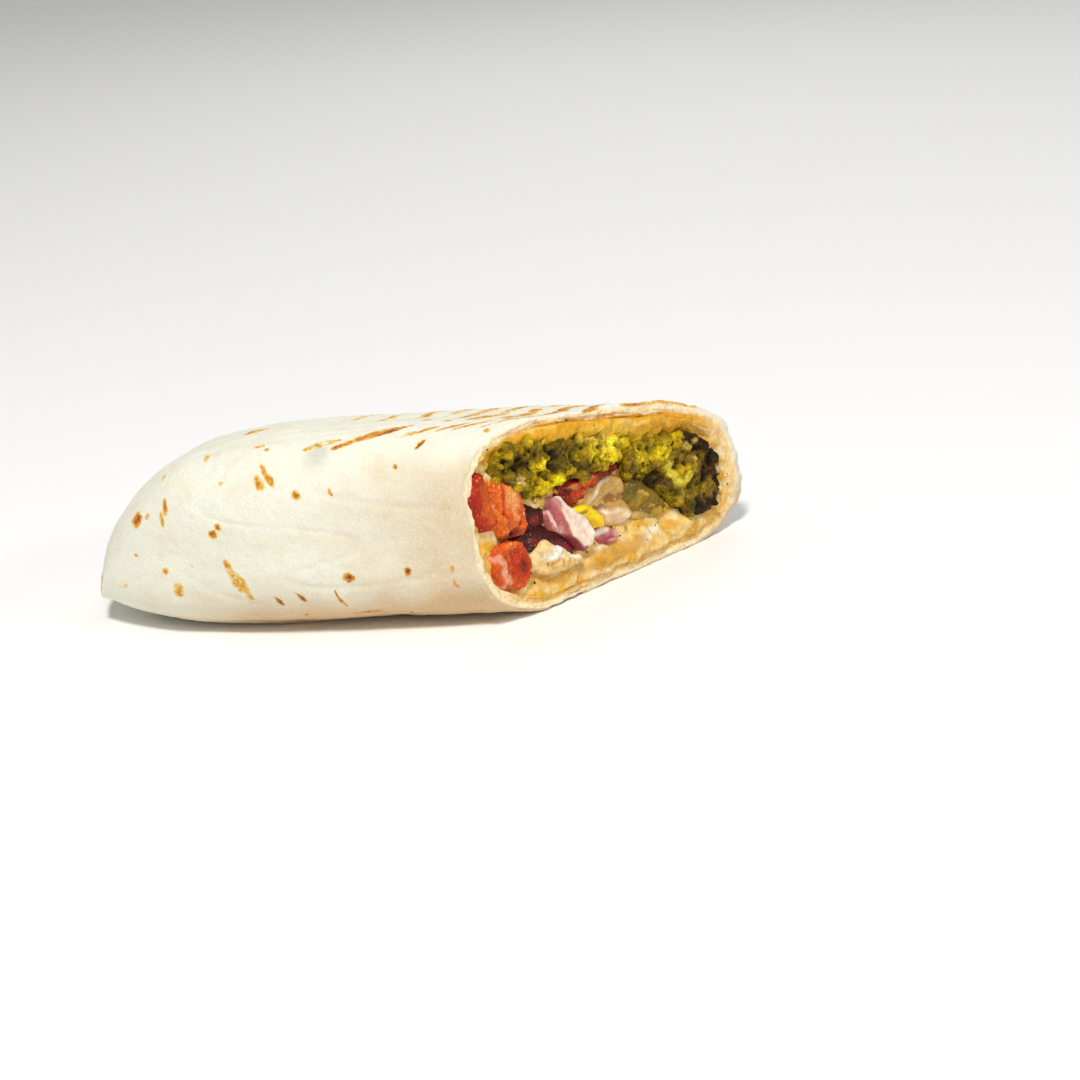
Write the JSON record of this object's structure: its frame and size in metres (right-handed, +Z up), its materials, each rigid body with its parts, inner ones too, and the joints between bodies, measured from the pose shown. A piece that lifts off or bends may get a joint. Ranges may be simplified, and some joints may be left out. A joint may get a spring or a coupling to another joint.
{
  "type": "falafel wrap half",
  "caption": "Half of a toasted flatbread wrap, folded shut at one end and cut on the slant to show falafel, tomato, onion, pepper and sauce.",
  "frame": {"origin": "middle of the bounding box, on the surface that the wrap rests on", "axes": "+X from the folded tip to the cut, along the roll; +Y across it, towards the long side of the cut; +Z up"},
  "size_m": [0.1428, 0.066, 0.0425],
  "materials": {
    "flatbread": "soft toasted flour flatbread, cream with brown grill marks",
    "red_onion": "moist, pale flesh with a purple skin edge",
    "onion_skin": "moist dark maroon",
    "white_onion": "moist, translucent white",
    "yellow_pepper": "wet yellow pepper",
    "red_pepper": "wet dark red pepper",
    "tomato": "wet tomato flesh",
    "cucumber": "wet, translucent olive green",
    "falafel": "coarse green and yellow crumb",
    "falafel_crust": "coarse crumb with a dark brown fried crust",
    "yogurt_sauce": "thick white sauce",
    "hummus": "smooth golden paste soaked into the bread"
  },
  "bodies": {
    "root": {"flatbread": "flatbread", "onion_wedge": "red_onion", "onion_sliver": "red_onion", "yellow_pepper": "yellow_pepper", "onion_chip": "red_onion", "tomato_slice": "tomato", "tomato_wedge": "tomato", "tomato_end": "tomato", "red_pepper_strip": "red_pepper", "red_pepper_slice": "red_pepper", "onion_skin": "onion_skin", "falafel_torn": "falafel", "falafel_crust": "falafel_crust", "white_onion": "white_onion", "cucumber": "cucumber", "yogurt_sauce": "yogurt_sauce", "hummus": "hummus"}
  },
  "joints": []
}
